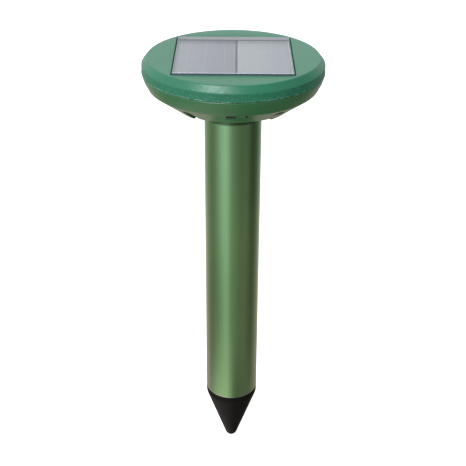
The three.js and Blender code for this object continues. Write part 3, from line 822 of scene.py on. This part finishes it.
def studio():
    """A light tent: a bright window at the front left, a dark flag at the right and pale walls behind."""
    scene = bpy.context.scene
    scene.view_settings.view_transform = "Standard"
    world = bpy.data.worlds.new("light_tent")
    scene.world = world
    world.use_nodes = True
    tree = world.node_tree
    tree.nodes.clear()
    coordinates = tree.nodes.new("ShaderNodeTexCoord")
    split = tree.nodes.new("ShaderNodeSeparateXYZ")
    tree.links.new(coordinates.outputs["Generated"], split.inputs["Vector"])
    x, y, z = (split.outputs[i] for i in range(3))
    back = combine_values(tree, "MULTIPLY", y, -1.0)
    angle = combine_values(tree, "ARCTAN2", x, back)
    compass = between(tree, angle, 0, 1, -math.pi, math.pi)

    def at(degrees, level, tint=(1.0, 0.97, 0.9)):
        return ((degrees + 180) / 360, shade(tint, level))

    cool = (0.93, 0.98, 1.1)
    pale = (1.0, 1.0, 1.05)
    warm = (1.2, 0.98, 0.84)
    walls = ramp(tree, compass, [
        at(-180, 0.7, pale), at(-145, 0.66, pale), at(-115, 0.46), at(-93, 0.27), at(-72, 0.38),
        at(-48, 0.82, cool), at(-33, 1.06, cool), at(-20, 0.95, cool), at(-6, 0.44), at(14, 0.29),
        at(34, 0.2), at(58, 0.235), at(84, 0.055), at(112, 0.14), at(140, 0.5, pale), at(180, 0.7, pale),
    ])
    low_walls = ramp(tree, compass, [
        at(-180, 0.55, warm), at(-145, 0.5, warm), at(-115, 0.27, warm), at(-93, 0.27, warm),
        at(-72, 0.36), at(-48, 0.56), at(-33, 0.8, pale), at(-20, 0.84, pale), at(-6, 0.42),
        at(14, 0.4), at(34, 0.28, warm), at(62, 0.29, warm), at(78, 0.2, warm), at(100, 0.13, warm),
        at(118, 0.24, warm), at(180, 0.55, warm),
    ])
    walls = blend_colours(tree, between(tree, z, 1, 0, -0.62, -0.28), walls, low_walls)
    side = between(tree, x, 1.0, 0.4, -0.9, 0.9)
    behind = between(tree, y, 0, 1, 0.3, 0.8, smooth=True)
    upper = combine_values(tree, "MAXIMUM", side, combine_values(tree, "MULTIPLY", behind, 1.15))
    below = between(tree, z, 1, 0, -0.85, -0.7, smooth=True)
    sky = blend_colours(tree, upper, (0.0, 0.0, 0.0), (0.98, 0.985, 1.0))
    bounce = blend_colours(tree, between(tree, x, 1, 0, -0.25, 0.15), (0.2, 0.18, 0.155), (1.25, 1.1, 1.0))
    ambient = blend_colours(tree, below, sky, bounce)
    height = between(tree, z, 0, 1, -1.0, 1.0)
    on_wall = ramp(tree, height, [(0.0, (0, 0, 0)), (0.08, (0, 0, 0)), (0.15, (1, 1, 1)), (0.46, (1, 1, 1)),
                                  (0.6, (0, 0, 0))], True)
    light = blend_colours(tree, on_wall, ambient, walls)
    tent = tree.nodes.new("ShaderNodeBackground")
    tree.links.new(light, tent.inputs["Color"])
    waist = combine_values(tree, "MULTIPLY", between(tree, z, 1.17, 1.0, -0.5, -0.4),
                           between(tree, z, 0.78, 1.0, -0.62, -0.5))
    tree.links.new(waist, tent.inputs["Strength"])
    white = tree.nodes.new("ShaderNodeBackground")
    path = tree.nodes.new("ShaderNodeLightPath")
    mix = tree.nodes.new("ShaderNodeMixShader")
    tree.links.new(path.outputs["Is Camera Ray"], mix.inputs["Fac"])
    tree.links.new(tent.outputs["Background"], mix.inputs[1])
    tree.links.new(white.outputs["Background"], mix.inputs[2])
    output = tree.nodes.new("ShaderNodeOutputWorld")
    tree.links.new(mix.outputs["Shader"], output.inputs["Surface"])


def softbox(azimuth, elevation, distance, width, depth, power, tint=(1, 1, 1)):
    """A soft rectangular lamp aimed at the head."""
    target = Vector((0, 0, HEAD_TOP * MM))
    a, e = math.radians(azimuth), math.radians(elevation)
    away = Vector((math.sin(a) * math.cos(e), -math.cos(a) * math.cos(e), math.sin(e)))
    bpy.ops.object.light_add(type="AREA", location=target + away * distance)
    lamp = bpy.context.object
    lamp.rotation_euler = away.to_track_quat("Z", "Y").to_euler()
    lamp.data.shape = "RECTANGLE"
    lamp.data.size = width
    lamp.data.size_y = depth
    lamp.data.energy = power
    lamp.data.color = tint
    lamp.visible_camera = False


def floor():
    """A white sweep, lit from inside so that it stays white, and clear from below."""
    deselect()
    bpy.ops.mesh.primitive_plane_add(size=60, location=(0, 0, -0.0005))
    sweep = bpy.context.object
    sweep.name = "floor"
    material, tree, shader = new_material("white_sweep")
    shader.inputs["Base Color"].default_value = (0.9, 0.9, 0.9, 1)
    shader.inputs["Emission Color"].default_value = (1, 1, 1, 1)
    shader.inputs["Emission Strength"].default_value = 0.75
    clear = tree.nodes.new("ShaderNodeBsdfTransparent")
    geometry = tree.nodes.new("ShaderNodeNewGeometry")
    mix = tree.nodes.new("ShaderNodeMixShader")
    tree.links.new(geometry.outputs["Backfacing"], mix.inputs["Fac"])
    tree.links.new(shader.outputs["BSDF"], mix.inputs[1])
    tree.links.new(clear.outputs["BSDF"], mix.inputs[2])
    tree.links.new(mix.outputs["Shader"], tree.nodes["Material Output"].inputs["Surface"])
    sweep.data.materials.append(material)
    sweep.visible_diffuse = False
    sweep.visible_glossy = False
    sweep.visible_shadow = False
    sweep.visible_transmission = False


def dress_inner_nodes(materials):
    """Gives every CAD node that stays its own finish."""
    slots = {part["node"]: part["material_slot"] for part in frame["record"]["subparts"]}
    for name, node in frame["nodes"].items():
        node.data.materials.clear()
        node.data.materials.append(materials[slots[name]])


camera()
studio()
softbox(-32, 56, 1.1, 0.42, 0.3, 6.8, (0.93, 0.98, 1.0))
floor()
finishes = make_materials()
dress_inner_nodes(finishes)
top_cover(finishes["cover_green"])
lower_housing(finishes["housing_green"])
panel(finishes)
screws(finishes["screw_steel"])
switch_knob(finishes["knob_plastic"])
tube(finishes["tube_anodised"])
ground_spike(finishes["spike_black"])
